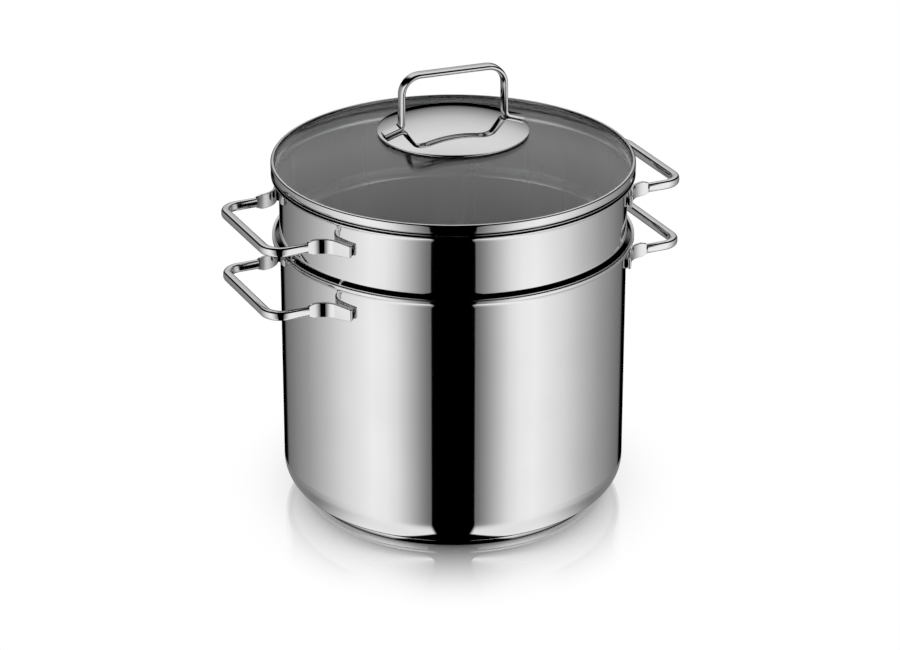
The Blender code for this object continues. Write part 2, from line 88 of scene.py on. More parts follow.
def addNode(tree, kind, inputs=None, **settings):
    # a node with its settings. An input is a value, a socket to link from, or a node, whose first output
    # is linked.
    node = tree.nodes.new(kind)
    for name, value in settings.items():
        setattr(node, name, value)
    for name, value in (inputs or {}).items():
        if isinstance(value, bpy.types.Node):
            value = value.outputs[0]
        if isinstance(value, bpy.types.NodeSocket):
            tree.links.new(value, node.inputs[name])
        else:
            node.inputs[name].default_value = value
    return node


def setStops(ramp, stops):
    # stops are (place, grey) pairs, both from 0 to 1
    elements = ramp.color_ramp.elements
    while len(elements) < len(stops):
        elements.new(0.5)
    for element, (place, grey) in zip(elements, stops):
        element.position = place
        element.color = (grey, grey, grey, 1.0)


white = toLinear("#ffffff")


# Studio: mirror steel shows what stands round it, so rays that left the steel see two soft boxes
# with a dark gap behind the camera, and a soft strip above the far side. Everything else sees plain white.
# The table's mirror is perfectly smooth and the steel never is, which tells their rays apart.

studio = {
    "turn": cameraSetup["heading"],  # the gap faces the camera
    "whiteLevel": 1.0,
    "brightest": 1.2,  # middle of a soft box, against white paper at 1
    # degrees away from the camera's side, and brightness as a share of the brightest
    "boxes": [(0, 0.14), (14, 0.15), (17, 0.20), (21, 0.30), (26, 0.45), (32, 0.64), (38, 0.83), (46, 0.96),
              (56, 1.0), (66, 0.91), (80, 0.78), (95, 0.58), (115, 0.37), (138, 0.22), (151, 0.15),
              (156, 0), (180, 0)],
    "boxTop": (27, 38),  # degrees above the horizon where the boxes fade out
    "boxTopDrop": (60, 180, 48),  # their tops come down between these degrees round, by this many degrees
    # height from straight down to overhead, and half width of the gap as a share of the distance
    "gap": [(0.0, 0.12), (0.11, 0.175), (0.30, 0.227), (0.70, 0.291), (1.0, 0.30)],
    "gapEdge": 0.008,
    # degrees up from the far horizon, over the top to the camera's side, and brightness
    "strip": [(0, 0), (2, 0.12), (8, 0.26), (15, 0.39), (20, 0.50), (25, 0.60), (33, 0.70), (43, 0.79),
              (52, 0.81), (62, 0.76), (69, 0.66), (73, 0), (180, 0)],
    "stripSide": (0.40, 0.58),  # the strip fades out sideways, as a share of the distance
}


def makeWorld(setup):
    world = bpy.data.worlds.new("studio")
    bpy.context.scene.world = world
    world.use_nodes = True
    world.cycles.sampling_method = "NONE"  # all that is not steel sees one even white, so nothing to aim at
    tree = world.node_tree
    tree.nodes.clear()
    place = addNode(tree, "ShaderNodeTexCoord")
    turned = addNode(tree, "ShaderNodeVectorRotate", {"Vector": place.outputs["Generated"],
                     "Angle": radians(-setup["turn"])}, rotation_type="Z_AXIS")
    axes = addNode(tree, "ShaderNodeSeparateXYZ", {0: turned})
    across = addNode(tree, "ShaderNodeMath", {0: axes.outputs["X"]}, operation="ABSOLUTE")

    # soft boxes: brightness all the way round, faded out at their tops
    away = addNode(tree, "ShaderNodeMath", {0: axes.outputs["Y"], 1: -1.0}, operation="MULTIPLY")
    around = addNode(tree, "ShaderNodeMath", {0: axes.outputs["X"], 1: away}, operation="ARCTAN2")
    side = addNode(tree, "ShaderNodeMath", {0: around}, operation="ABSOLUTE")
    sideShare = addNode(tree, "ShaderNodeMath", {0: side, 1: pi}, operation="DIVIDE")
    boxes = addNode(tree, "ShaderNodeValToRGB", {0: sideShare})
    setStops(boxes, [(angle / 180, grey) for angle, grey in setup["boxes"]])
    dropStart, dropEnd, drop = [radians(angle) for angle in setup["boxTopDrop"]]
    lowered = addNode(tree, "ShaderNodeMapRange", {"Value": side, "From Min": dropStart,
                      "From Max": dropEnd, "To Min": 0.0, "To Max": drop})
    rise = addNode(tree, "ShaderNodeMath", {0: axes.outputs["Z"]}, operation="ARCSINE")
    risen = addNode(tree, "ShaderNodeMath", {0: rise, 1: lowered}, operation="ADD")
    topStart, topEnd = [radians(angle) for angle in setup["boxTop"]]
    top = addNode(tree, "ShaderNodeMapRange", {"Value": risen, "From Min": topStart, "From Max": topEnd,
                  "To Min": 1.0, "To Max": 0.0}, interpolation_type="SMOOTHSTEP")

    # the gap between them, wider with the height
    height = addNode(tree, "ShaderNodeMapRange", {"Value": axes.outputs["Z"], "From Min": -1.0,
                     "From Max": 1.0})
    halfGap = addNode(tree, "ShaderNodeValToRGB", {0: height})
    setStops(halfGap, setup["gap"])
    past = addNode(tree, "ShaderNodeMath", {0: across, 1: halfGap}, operation="SUBTRACT")
    beside = addNode(tree, "ShaderNodeMapRange", {"Value": past, "From Min": 0.0,
                     "From Max": setup["gapEdge"]})
    boxShare = addNode(tree, "ShaderNodeMath", {0: top, 1: beside}, operation="MULTIPLY")
    boxLight = addNode(tree, "ShaderNodeMath", {0: boxes, 1: boxShare}, operation="MULTIPLY")

    # strip over the far side
    over = addNode(tree, "ShaderNodeMath", {0: axes.outputs["Z"], 1: axes.outputs["Y"]},
                   operation="ARCTAN2")
    overShare = addNode(tree, "ShaderNodeMath", {0: over, 1: pi}, operation="DIVIDE")
    strip = addNode(tree, "ShaderNodeValToRGB", {0: overShare})
    setStops(strip, [(angle / 180, grey) for angle, grey in setup["strip"]])
    stripStart, stripEnd = setup["stripSide"]
    inside = addNode(tree, "ShaderNodeMapRange", {"Value": across, "From Min": stripStart,
                     "From Max": stripEnd, "To Min": 1.0, "To Max": 0.0},
                     interpolation_type="SMOOTHSTEP")
    stripLight = addNode(tree, "ShaderNodeMath", {0: strip, 1: inside}, operation="MULTIPLY")

    # only rays that left the steel see them: they bounced off something glossy that is no perfect mirror
    lit = addNode(tree, "ShaderNodeMath", {0: boxLight, 1: stripLight}, operation="MAXIMUM")
    scaled = addNode(tree, "ShaderNodeMath", {0: lit, 1: setup["brightest"]}, operation="MULTIPLY")
    path = addNode(tree, "ShaderNodeLightPath")
    mirrored = addNode(tree, "ShaderNodeMath", {0: path.outputs["Glossy Depth"], 1: 0.5},
                       operation="GREATER_THAN")
    soft = addNode(tree, "ShaderNodeMath", {0: mirrored, 1: path.outputs["Is Singular Ray"]},
                   operation="SUBTRACT", use_clamp=True)
    level = addNode(tree, "ShaderNodeMix", {"Factor": soft, "A": setup["whiteLevel"], "B": scaled},
                    data_type="FLOAT")
    light = addNode(tree, "ShaderNodeBackground", {"Color": white, "Strength": level})
    addNode(tree, "ShaderNodeOutputWorld", {"Surface": light})


makeWorld(studio)


# Floor: a pale polished table top. Close to the pot it keeps the real shadow of its matt part, a fading
# mirror image and a painted contact shadow in the mirror's colour, and further out it is as white as the
# background.

stageFacets = 96

table = {
    "radius": 6.0,
    "colour": "#f7f7f7",
    "mirrorShare": 0.85,
    # metres from the pot's axis, and how much of the mirror image and shadow shows
    "fade": [(0.000, 1.0), (0.104, 0.96), (0.109, 0.88), (0.113, 0.83), (0.119, 0.76), (0.124, 0.69),
             (0.130, 0.61), (0.136, 0.52), (0.148, 0.36), (0.159, 0.22), (0.170, 0.11), (0.182, 0.04),
             (0.195, 0.0)],
    "fadeReach": 0.2,
    "sideways": 1.2,  # it fades sooner to the left and right than towards the camera
    # metres from the axis, and how bright the mirror image is: a painted shadow, dark where the foot shades
    # the table
    "paintedMirrorShadow": [(0.000, 0.0), (0.104, 0.0), (0.106, 0.12), (0.108, 0.34), (0.111, 0.58),
                   (0.115, 0.70), (0.2, 0.70)],
}


def linkStage(name, bm, finish):
    mesh = bpy.data.meshes.new(name)
    bm.to_mesh(mesh)
    bm.free()
    mesh.materials.append(finish)
    item = bpy.data.objects.new(name, mesh)
    bpy.context.scene.collection.objects.link(item)
    return item


def makeFloor(setup):
    finish = bpy.data.materials.new("pale_polished_table")
    finish.use_nodes = True
    tree = finish.node_tree
    tree.nodes.clear()
    place = addNode(tree, "ShaderNodeTexCoord")

    # the table's top: a little matt white under a mirror whose colour is painted dark beneath the pot, a
    # painted contact shadow
    far = addNode(tree, "ShaderNodeVectorMath", {0: place.outputs["Object"]}, operation="LENGTH")
    reach = addNode(tree, "ShaderNodeMath", {0: far.outputs["Value"], 1: setup["fadeReach"]},
                    operation="DIVIDE")
    # painted contact shadow: the mirror's colour goes dark near the pot's foot
    tone = addNode(tree, "ShaderNodeValToRGB", {0: reach})
    setStops(tone, [(spot / setup["fadeReach"], grey) for spot, grey in setup["paintedMirrorShadow"]])
    matt = addNode(tree, "ShaderNodeBsdfDiffuse", {"Color": toLinear(setup["colour"])})
    gloss = addNode(tree, "ShaderNodeBsdfGlossy", {"Color": tone, "Roughness": 0.0})
    polished = addNode(tree, "ShaderNodeMixShader", {0: setup["mirrorShare"], 1: matt, 2: gloss})

    # it fades into plain white
    turned = addNode(tree, "ShaderNodeVectorRotate", {"Vector": place.outputs["Object"],
                     "Angle": radians(-studio["turn"])}, rotation_type="Z_AXIS")
    stretched = addNode(tree, "ShaderNodeVectorMath", {0: turned, 1: (setup["sideways"], 1, 1)},
                        operation="MULTIPLY")
    away = addNode(tree, "ShaderNodeVectorMath", {0: stretched}, operation="LENGTH")
    gone = addNode(tree, "ShaderNodeMath", {0: away.outputs["Value"], 1: setup["fadeReach"]},
                   operation="DIVIDE")
    fade = addNode(tree, "ShaderNodeValToRGB", {0: gone})
    setStops(fade, [(spot / setup["fadeReach"], share) for spot, share in setup["fade"]])
    path = addNode(tree, "ShaderNodeLightPath")
    seen = addNode(tree, "ShaderNodeMath", {0: fade, 1: path.outputs["Is Camera Ray"]},
                   operation="MULTIPLY")
    paper = addNode(tree, "ShaderNodeEmission", {"Color": white, "Strength": 1.0})
    whole = addNode(tree, "ShaderNodeMixShader", {0: seen, 1: paper, 2: polished})
    bounced = addNode(tree, "ShaderNodeMixShader", {0: path.outputs["Is Camera Ray"], 1: matt, 2: whole})
    addNode(tree, "ShaderNodeOutputMaterial", {"Surface": bounced})
    bm = bmesh.new()
    bmesh.ops.create_circle(bm, cap_ends=True, segments=stageFacets, radius=setup["radius"])
    floor = linkStage("table_top", bm, finish)
    floor.visible_glossy = False  # the steel shows the studio down to its foot


makeFloor(table)

# A ring on the table round the pot's foot that glows for the steel alone: a painted reflection of the lit
# table, with painted shade.
# Only the corner of the wall and the base are near enough to show it, so its light stops at a short
# distance.

footCard = {
    "inner": 101.0 * mm,
    "outer": 180.0 * mm,
    "height": -0.2 * mm,
    "brightness": 1.08,
    "rayLimit": 58.0 * mm,
    "edgeFade": (128.0 * mm, 170.0 * mm),
    # painted shade: the glow darkens towards the foot between these distances
    "paintedFootShade": (106.0 * mm, 111.5 * mm),
    "sideFade": (30, 65),  # degrees round from the camera's side
    "sideLow": 0.25,
    # distance towards the camera, and half width of the dark gap painted into the glow there, both in
    # metres
    "gap": [(0.100, 0.042), (0.105, 0.036), (0.116, 0.024), (0.124, 0.014), (0.136, 0.018), (0.169, 0.028)],
    "gapEdge": (-1.0 * mm, 2.0 * mm),
}


def makeFootCard(setup):
    # a painted reflection of the lit table, with painted shade near the foot
    finish = bpy.data.materials.new("painted_table_reflection")
    finish.use_nodes = True
    tree = finish.node_tree
    tree.nodes.clear()
    place = addNode(tree, "ShaderNodeTexCoord")
    far = addNode(tree, "ShaderNodeVectorMath", {0: place.outputs["Object"]}, operation="LENGTH")
    turned = addNode(tree, "ShaderNodeVectorRotate", {"Vector": place.outputs["Object"],
                     "Angle": radians(-studio["turn"])}, rotation_type="Z_AXIS")
    axes = addNode(tree, "ShaderNodeSeparateXYZ", {0: turned})
    near = addNode(tree, "ShaderNodeMath", {0: axes.outputs["Y"], 1: -1.0}, operation="MULTIPLY")
    across = addNode(tree, "ShaderNodeMath", {0: axes.outputs["X"]}, operation="ABSOLUTE")

    # painted brightness: a dark gap towards the camera, dimmer at the sides, and a painted shadow where the
    # foot shades it
    gapStart = setup["gap"][0][0]
    gapReach = setup["gap"][-1][0] - gapStart
    reach = addNode(tree, "ShaderNodeMapRange", {"Value": near, "From Min": gapStart,
                    "From Max": gapStart + gapReach})
    halfGap = addNode(tree, "ShaderNodeValToRGB", {0: reach})
    setStops(halfGap, [((spot - gapStart) / gapReach, half) for spot, half in setup["gap"]])
    past = addNode(tree, "ShaderNodeMath", {0: across, 1: halfGap}, operation="SUBTRACT")
    beside = addNode(tree, "ShaderNodeMapRange", {"Value": past, "From Min": setup["gapEdge"][0],
                     "From Max": setup["gapEdge"][1]})
    around = addNode(tree, "ShaderNodeMath", {0: across, 1: near}, operation="ARCTAN2")
    sideStart, sideEnd = [radians(angle) for angle in setup["sideFade"]]
    aside = addNode(tree, "ShaderNodeMapRange", {"Value": around, "From Min": sideStart,
                    "From Max": sideEnd, "To Min": setup["brightness"], "To Max": setup["sideLow"]},
                    interpolation_type="SMOOTHSTEP")
    shaded = addNode(tree, "ShaderNodeMapRange", {"Value": far.outputs["Value"],
                     "From Min": setup["paintedFootShade"][0], "From Max": setup["paintedFootShade"][1]},
                     interpolation_type="SMOOTHSTEP")
    dimmed = addNode(tree, "ShaderNodeMath", {0: aside, 1: shaded}, operation="MULTIPLY")
    level = addNode(tree, "ShaderNodeMath", {0: beside, 1: dimmed}, operation="MULTIPLY")
    glow = addNode(tree, "ShaderNodeEmission", {"Color": white, "Strength": level})

    # it shows to short rays in their first mirror image alone, and fades out at its edge
    path = addNode(tree, "ShaderNodeLightPath")
    close = addNode(tree, "ShaderNodeMath", {0: path.outputs["Ray Length"], 1: setup["rayLimit"]},
                    operation="LESS_THAN")
    first = addNode(tree, "ShaderNodeMath", {0: path.outputs["Glossy Depth"], 1: 1.5},
                    operation="LESS_THAN")
    shown = addNode(tree, "ShaderNodeMath", {0: close, 1: first}, operation="MULTIPLY")
    edge = addNode(tree, "ShaderNodeMapRange", {"Value": far.outputs["Value"],
                   "From Min": setup["edgeFade"][0], "From Max": setup["edgeFade"][1],
                   "To Min": 1.0, "To Max": 0.0}, interpolation_type="SMOOTHSTEP")
    share = addNode(tree, "ShaderNodeMath", {0: shown, 1: edge}, operation="MULTIPLY")
    clear = addNode(tree, "ShaderNodeBsdfTransparent")
    whole = addNode(tree, "ShaderNodeMixShader", {0: share, 1: clear, 2: glow})
    addNode(tree, "ShaderNodeOutputMaterial", {"Surface": whole})
    bm = bmesh.new()
    bmesh.ops.create_circle(bm, segments=stageFacets, radius=setup["inner"])
    grown = bmesh.ops.extrude_edge_only(bm, edges=bm.edges[:])
    outerRing = [item for item in grown["geom"] if isinstance(item, bmesh.types.BMVert)]
    bmesh.ops.scale(bm, vec=Vector((1, 1, 0)) * setup["outer"] / setup["inner"] + Vector((0, 0, 1)),
                    verts=outerRing)
    bmesh.ops.translate(bm, vec=(0, 0, setup["height"]), verts=bm.verts)
    card = linkStage("foot_card", bm, finish)
    card.visible_camera = False
    card.visible_diffuse = False
    card.visible_transmission = False
    card.visible_shadow = False


makeFootCard(footCard)
print("camera, studio and table done")


# Finishes

cloudRange = (0.3, 0.7)  # the noise hardly ever leaves this range


def makeSteel(name, axis, look):
    # 18/10 stainless steel. Buffed on the lathe it is a clean mirror with the faintest rings of polishing
    # and a slight unevenness in its gloss, and brushed it is soft and matt with the same lines coarser.
    # The lines lie square to the axis, so "Z" gives turned pieces lines that run round.
    finish = bpy.data.materials.new(name)
    finish.use_nodes = True
    tree = finish.node_tree
    shader = tree.nodes["Principled BSDF"]
    shader.inputs["Metallic"].default_value = 1.0
    place = addNode(tree, "ShaderNodeTexCoord")
    drawn = addNode(tree, "ShaderNodeMapping", {"Vector": place.outputs["Object"],
                    "Scale": (1, 1, look["cloudStretch"])})
    cloud = addNode(tree, "ShaderNodeTexNoise", {"Vector": drawn, "Scale": 1 / (look["cloudSize"] * mm),
                    "Detail": 3.0, "Roughness": 0.5})
    gloss = addNode(tree, "ShaderNodeMapRange", {"Value": cloud.outputs["Fac"], "From Min": cloudRange[0],
                    "From Max": cloudRange[1], "To Min": look["roughness"][0],
                    "To Max": look["roughness"][1]})
    tree.links.new(gloss.outputs[0], shader.inputs["Roughness"])
    tone = addNode(tree, "ShaderNodeMix", {"Factor": cloud.outputs["Fac"],
                   "A": toLinear(look["colours"][0]), "B": toLinear(look["colours"][1])},
                   data_type="RGBA")
    tree.links.new(tone.outputs["Result"], shader.inputs["Base Color"])
    stretch = (1, 1, look["lineStretch"]) if axis == "Z" else (look["lineStretch"], 1, 1)
    lines = addNode(tree, "ShaderNodeMapping", {"Vector": place.outputs["Object"], "Scale": stretch})
    grain = addNode(tree, "ShaderNodeTexNoise", {"Vector": lines, "Scale": 1 / (look["grainLength"] * mm),
                    "Detail": 2.0})
    bump = addNode(tree, "ShaderNodeBump", {"Height": grain.outputs["Fac"],
                   "Strength": look["grainStrength"], "Distance": look["grainDepth"] * mm})
    tree.links.new(bump.outputs[0], shader.inputs["Normal"])
    return finish


polish = {
    "colours": ("#d3d3d4", "#dddddd"),
    "roughness": (0.032, 0.048),
    "cloudSize": 45,  # mm
    "cloudStretch": 1.0,
    "grainLength": 30,  # mm along the polishing lines
    "lineStretch": 60,  # lines half a millimetre apart, coarser than the real ones so that they show
    "grainStrength": 0.006,
    "grainDepth": 0.02,  # mm
}

satin = {
    "colours": ("#cfd0d1", "#e4e4e4"),
    "roughness": (0.24, 0.34),
    "cloudSize": 26,  # mm
    "cloudStretch": 0.06,  # soft streaks up the wall
    "grainLength": 24,  # mm
    "lineStretch": 40,  # lines 0.6 mm apart
    "grainStrength": 0.25,
    "grainDepth": 0.03,  # mm
}

turnedMirror = makeSteel("mirror_polished_steel", "Z", polish)
barMirror = makeSteel("mirror_polished_bar", "X", polish)
satinSteel = makeSteel("satin_brushed_steel", "Z", satin)

glassLook = {"colour": "#fbfcfc", "roughness": 0.03, "ior": 1.5}


def makeTemperedGlass(look):
    # Clear tempered soda-lime glass, fire-polished: smooth, and all but colourless
    finish = bpy.data.materials.new("tempered_glass")
    finish.use_nodes = True
    shader = finish.node_tree.nodes["Principled BSDF"]
    shader.inputs["Transmission Weight"].default_value = 1.0
    shader.inputs["IOR"].default_value = look["ior"]
    shader.inputs["Roughness"].default_value = look["roughness"]
    shader.inputs["Base Color"].default_value = toLinear(look["colour"])
    return finish


temperedGlass = makeTemperedGlass(glassLook)


def makePlain(name, look):
    # a tone that wanders between two close colours, for the small pieces inside the lid and base
    finish = bpy.data.materials.new(name)
    finish.use_nodes = True
    tree = finish.node_tree
    shader = tree.nodes["Principled BSDF"]
    shader.inputs["Metallic"].default_value = look["metallic"]
    place = addNode(tree, "ShaderNodeTexCoord")
    cloud = addNode(tree, "ShaderNodeTexNoise", {"Vector": place.outputs["Object"],
                    "Scale": 1 / (look["cloudSize"] * mm), "Detail": 4.0})
    tone = addNode(tree, "ShaderNodeMix", {"Factor": cloud.outputs["Fac"],
                   "A": toLinear(look["colours"][0]), "B": toLinear(look["colours"][1])},
                   data_type="RGBA")
    tree.links.new(tone.outputs["Result"], shader.inputs["Base Color"])
    gloss = addNode(tree, "ShaderNodeMapRange", {"Value": cloud.outputs["Fac"],
                    "To Min": look["roughness"][0], "To Max": look["roughness"][1]})
    tree.links.new(gloss.outputs[0], shader.inputs["Roughness"])
    bump = addNode(tree, "ShaderNodeBump", {"Height": cloud.outputs["Fac"],
                   "Strength": look["bumpStrength"], "Distance": look["bumpDepth"] * mm})
    tree.links.new(bump.outputs[0], shader.inputs["Normal"])
    return finish


# Moulded silicone: matt and dark grey
siliconeLook = {
    "colours": ("#2a2a2b", "#333435"),
    "roughness": (0.47, 0.63),
    "metallic": 0.0,
    "cloudSize": 3,  # mm
    "bumpStrength": 0.3,
    "bumpDepth": 0.05,  # mm
}

# Rolled aluminium plate: pale and dull
aluminiumLook = {
    "colours": ("#c9cbcd", "#d4d6d7"),
    "roughness": (0.34, 0.50),
    "metallic": 1.0,
    "cloudSize": 4,  # mm
    "bumpStrength": 0.3,
    "bumpDepth": 0.05,  # mm
}

silicone = makePlain("moulded_silicone", siliconeLook)
rolledAluminium = makePlain("rolled_aluminium", aluminiumLook)
print("finishes done")


# Outlines are (radius, height) points


def arcPoints(centre, radius, start, end, steps):
    points = []
    for step in range(steps + 1):
        angle = radians(start + (end - start) * step / steps)
        points.append((centre[0] + radius * cos(angle), centre[1] + radius * sin(angle)))
    return points


def roundCorner(before, corner, after, radius, steps=6):
    # the points that round a corner of an outline
    corner = Vector(corner)
    back = (Vector(before) - corner).normalized()
    ahead = (Vector(after) - corner).normalized()
    half = back.angle(ahead) / 2
    reach = radius * cos(half) / sin(half)
    middle = corner + (back + ahead).normalized() * radius / sin(half)
    first = corner + back * reach - middle
    last = corner + ahead * reach - middle
    points = []
    for step in range(steps + 1):
        share = step / steps
        points.append(tuple(middle + (first * (1 - share) + last * share).normalized() * radius))
    return points


def offsetOutline(outline, distance):
    # the same outline a wall's thickness to its right, seen along the way
    moved = []
    for index, point in enumerate(outline):
        ways = []
        if index > 0:
            ways.append((Vector(point) - Vector(outline[index - 1])).normalized())
        if index < len(outline) - 1:
            ways.append((Vector(outline[index + 1]) - Vector(point)).normalized())
        rights = [Vector((way.y, -way.x)) for way in ways]
        middle = (rights[0] + rights[-1]).normalized()
        spot = Vector(point) + middle * distance / middle.dot(rights[0])
        moved.append((0.0 if point[0] == 0 else spot.x, spot.y))
    return moved


def wallSection(outline, wall, steps=6, hem=None):
    # a sheet-metal wall from its outside outline, lip to axis, with the lip's edge rounded over or hemmed
    inner = offsetOutline(outline, wall)
    if hem:
        foot = (hem["radius"], inner[0][1] - hem["height"])
        ridge = Vector(inner[0]) + (Vector(inner[1]) - Vector(inner[0])).normalized() * hem["cut"]
        top = (hem["radius"], ridge.y - hem["slope"])
        edge = roundCorner(ridge, top, foot, hem["round"], steps)
        edge += roundCorner(top, foot, outline[1], hem["round"], steps)
        return list(reversed(inner[1:])) + [tuple(ridge)] + edge + outline[1:]
    lip = (Vector(outline[0]) + Vector(inner[0])) / 2
    spoke = Vector(inner[0]) - lip
    edge = []
    for step in range(1, steps):
        turn = Matrix.Rotation(pi * step / steps, 2)
        edge.append(tuple(lip + turn @ spoke))
    return list(reversed(inner)) + edge + outline


facets = 256


def turnOutline(outline, closed):
    bm = bmesh.new()
    corners = [bm.verts.new((radius, 0, height)) for radius, height in outline]
    edges = [bm.edges.new(pair) for pair in zip(corners, corners[1:])]
    if closed:
        edges.append(bm.edges.new((corners[-1], corners[0])))
    bmesh.ops.spin(bm, geom=corners + edges, cent=(0, 0, 0), axis=(0, 0, 1), angle=2 * pi,
                   steps=facets, use_merge=True)
    bmesh.ops.remove_doubles(bm, verts=bm.verts, dist=1e-6)
    bmesh.ops.recalc_face_normals(bm, faces=bm.faces)
    bm.normal_update()
    return bm


# an edge stays crisp where its two faces turn by more than this many degrees
crispAngle = 38
barCrispAngle = 40


def finishPiece(name, bm, materials, body, replaced, crisp=crispAngle):
    mesh = bpy.data.meshes.new(name)
    bm.to_mesh(mesh)
    bm.free()
    for material in materials:
        mesh.materials.append(material)
    mesh.shade_smooth()
    mesh.set_sharp_from_angle(angle=radians(crisp))
    piece = bpy.data.objects.new(name, mesh)
    bpy.context.scene.collection.objects.link(piece)
    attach(piece, body)
    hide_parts(*replaced)
    return piece


# The flared pouring rim, the same on pot and insert

rim = {
    "wallRadius": 121.0 * mm,
    "flareRadius": 5.5 * mm,
    "flareAngle": 60,
    "lip": 3.0 * mm,
}

# The lip's edge is turned down. The insert's is also ground to a slope, which starts at the cut.

potHem = {
    "radius": 126.3 * mm,
    "height": 2.2 * mm,
    "round": 0.3 * mm,
    "cut": 0.0,
    "slope": 0.0,
}

insertHem = {
    "radius": 126.3 * mm,
    "height": 2.4 * mm,
    "round": 0.25 * mm,
    "cut": 0.8 * mm,
    "slope": 1.2 * mm,
}


def rimRise(wall):
    angle = radians(rim["flareAngle"])
    return (rim["flareRadius"] + wall) * sin(angle) + rim["lip"] * cos(angle)


def rimOutline(wall, top):
    angle = radians(rim["flareAngle"])
    centre = (rim["wallRadius"] + rim["flareRadius"], top - rimRise(wall))
    curve = arcPoints(centre, rim["flareRadius"], 180 - rim["flareAngle"], 180, steps=12)
    edge = (curve[0][0] + rim["lip"] * sin(angle), curve[0][1] + rim["lip"] * cos(angle))
    return [edge] + curve


vesselSteels = [turnedMirror, satinSteel]
satinIndex = vesselSteels.index(satinSteel)

# how squarely a face has to look at the axis or upwards, and how far an upward one may look outwards
insideFace = {"inwards": 0.3, "upwards": 0.3, "outwards": 0.05}


def paintInside(bm, top, limits):
    # satin on the faces below the rim that look into the vessel
    for face in bm.faces:
        middle = face.calc_center_median()
        inwards = -face.normal.dot(Vector((middle.x, middle.y, 0)).normalized())
        level = face.normal.z > limits["upwards"] and inwards > -limits["outwards"]
        if middle.z < top and (inwards > limits["inwards"] or level):
            face.material_index = satinIndex


# Pot

potSize = {
    "wall": 0.9 * mm,
    "corner": 20.0 * mm,
}


def makePot(size):
    low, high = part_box("pot_body")
    outline = rimOutline(size["wall"], high.z)
    centre = (rim["wallRadius"] - size["corner"], low.z + size["corner"])
    outline += arcPoints(centre, size["corner"], 0, -90, steps=20)
    outline.append((0.0, low.z))
    bm = turnOutline(wallSection(outline, size["wall"], hem=potHem), closed=False)
    paintInside(bm, high.z - rimRise(size["wall"]), insideFace)
    finishPiece("pot_shell", bm, vesselSteels, "pot", ["pot_body"])


makePot(potSize)

capSize = {
    "radius": 105.5 * mm,
    "wall": 0.6 * mm,
    "corner": 1.5 * mm,
}


def makeBaseCap(size):
    low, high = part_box("pot_base_cap")
    centre = (size["radius"] - size["corner"], low.z + size["corner"])
    outline = [(size["radius"], high.z)]
    outline += arcPoints(centre, size["corner"], 0, -90, steps=8)
    outline.append((0.0, low.z))
    bm = turnOutline(wallSection(outline, size["wall"], steps=4), closed=False)
    finishPiece("pot_base_shell", bm, [turnedMirror], "pot", ["pot_base_cap"])


makeBaseCap(capSize)
print("pot done")


# Insert

insertSize = {
    "wall": 0.8 * mm,
    "shoulderRound": 2.5 * mm,
    # conical seat on the pot's flare: its rounded edge, out from the wall and down from the pot's lip
    "seatOut": 2.5 * mm,
    "seatDrop": 0.05 * mm,
    "seatRound": 0.9 * mm,
    "seatSlope": 50,  # degrees, as the next
    "seatEnd": -75,
    "neckInset": 2.2 * mm,
    "neckDrop": 2.25 * mm,
    "neckRound": 0.9 * mm,
    "basketInset": 4.0 * mm,
    "basketDrop": 4.9 * mm,
    "basketRound": 1.2 * mm,
    "basketCorner": 14.0 * mm,
    "satinDrop": 12.0 * mm,  # the outside is polished down to here, measured from the pot's lip
}

holes = {
    "radius": 2.4 * mm,
    "sides": 16,
    "inRow": 38,
    "rows": 7,
    "topDrop": 40.9 * mm,  # first row below the pot's lip
    "pitch": 15.0 * mm,
    "floorPitch": 15.0 * mm,
    "floorRings": 6,
    "floorSides": 6,  # each ring has this many holes more than the last
    "depth": 10.0 * mm,  # length of the drills
}


def insertOutline(size):
    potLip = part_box("pot_body")[1].z
    low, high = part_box("insert_body")
    basket = rim["wallRadius"] - size["basketInset"]
    outline = rimOutline(size["wall"], high.z)
    slope = radians(size["seatSlope"])
    seat = (rim["wallRadius"] + size["seatOut"], potLip - size["seatDrop"])
    edge = arcPoints(seat, size["seatRound"], size["seatSlope"], size["seatEnd"], steps=10)
    shoulder = (rim["wallRadius"], edge[0][1] + (edge[0][0] - rim["wallRadius"]) * cos(slope) / sin(slope))
    outline += roundCorner(outline[-1], shoulder, edge[0], size["shoulderRound"], steps=10)
    outline += edge
    neck = (rim["wallRadius"] - size["neckInset"], potLip - size["neckDrop"])
    step = (basket, potLip - size["basketDrop"])
    outline += roundCorner(edge[-1], neck, step, size["neckRound"], steps=5)
    outline += roundCorner(neck, step, (basket, low.z), size["basketRound"], steps=5)
    centre = (basket - size["basketCorner"], low.z + size["basketCorner"])
    outline += arcPoints(centre, size["basketCorner"], 0, -90, steps=14)
    outline.append((0.0, low.z))
    return outline


def drill(bm, size, spot):
    bmesh.ops.create_cone(bm, cap_ends=True, segments=size["sides"], radius1=size["radius"],
                          radius2=size["radius"], depth=size["depth"], matrix=spot)


def makeDrills(size, low, potLip):
    # one short rod for each hole, with every other row half a step round
    bm = bmesh.new()
    sideways = Matrix.Rotation(pi / 2, 4, "Y")
    reach = rim["wallRadius"] - insertSize["basketInset"]
    for row in range(size["rows"]):
        spot = Matrix.Translation((reach, 0, potLip - size["topDrop"] - row * size["pitch"])) @ sideways
        for hole in range(size["inRow"]):
            turn = Matrix.Rotation(2 * pi * (hole + row % 2 / 2) / size["inRow"], 4, "Z")
            drill(bm, size, turn @ spot)
    drill(bm, size, Matrix.Translation((0, 0, low)))
    for ring in range(1, size["floorRings"] + 1):
        spot = Matrix.Translation((ring * size["floorPitch"], 0, low))
        inRing = size["floorSides"] * ring
        for hole in range(inRing):
            drill(bm, size, Matrix.Rotation(2 * pi * hole / inRing, 4, "Z") @ spot)
    return bm


